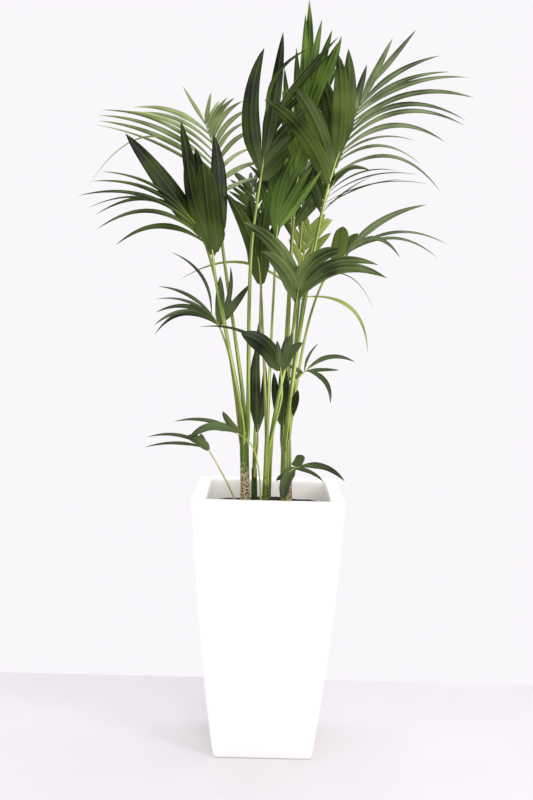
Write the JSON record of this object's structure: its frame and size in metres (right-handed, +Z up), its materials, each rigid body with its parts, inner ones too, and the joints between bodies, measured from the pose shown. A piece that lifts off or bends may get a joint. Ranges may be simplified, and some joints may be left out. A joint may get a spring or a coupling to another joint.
{
  "type": "potted kentia palm",
  "caption": "Potted kentia palm with arching feathery fronds on long upright stalks, in a tall tapering square planter",
  "frame": {"origin": "middle of the planter's flat underside", "axes": "+Z up along the planter, front towards -Y, sides of the square planter along X and Y"},
  "size_m": [1.0976, 0.7202, 2.1491],
  "materials": {
    "planter": "white satin gloss",
    "soil": "dark potting soil with bark",
    "stem": "smooth green sheaths, brown and ringed near the soil",
    "stalk": "smooth yellow-green",
    "frond": "green leaf, slightly glossy"
  },
  "bodies": {
    "root": {"planter": "planter", "soil": "soil", "stem_a": "stem", "stem_b": "stem", "stem_c": "stem", "stem_d": "stem", "stem_e": "stem", "stalk_left_feather": "stalk", "stalk_left_low": "stalk", "stalk_left_upright": "stalk", "stalk_centre_upright": "stalk", "stalk_top_back": "stalk", "stalk_right_large": "stalk", "stalk_right_fine": "stalk", "stalk_right_low": "stalk", "stalk_front_arching": "stalk", "stalk_centre_inner": "stalk", "stalk_centre_low": "stalk", "stalk_left_small": "stalk", "stalk_right_slender": "stalk", "stalk_front_small": "stalk", "stalk_spear_left": "stalk", "stalk_spear_right": "stalk", "stalk_right_small": "stalk", "stalk_shoot_left": "stalk", "stalk_shoot_front": "stalk", "stalk_shoot_right": "stalk", "stalk_back_tall": "stalk", "stalk_back_right": "stalk", "stalk_back_left": "stalk", "stalk_back_high": "stalk", "frond_left_feather": "frond", "frond_left_low": "frond", "frond_left_upright": "frond", "frond_centre_upright": "frond", "frond_top_back": "frond", "frond_right_large": "frond", "frond_right_fine": "frond", "frond_right_low": "frond", "frond_front_arching": "frond", "frond_centre_inner": "frond", "frond_centre_low": "frond", "frond_left_small": "frond", "frond_right_slender": "frond", "frond_front_small": "frond", "frond_spear_left": "frond", "frond_spear_right": "frond", "frond_right_small": "frond", "frond_shoot_left": "frond", "frond_shoot_front": "frond", "frond_shoot_right": "frond", "frond_back_tall": "frond", "frond_back_right": "frond", "frond_back_left": "frond", "frond_back_high": "frond"}
  },
  "joints": []
}
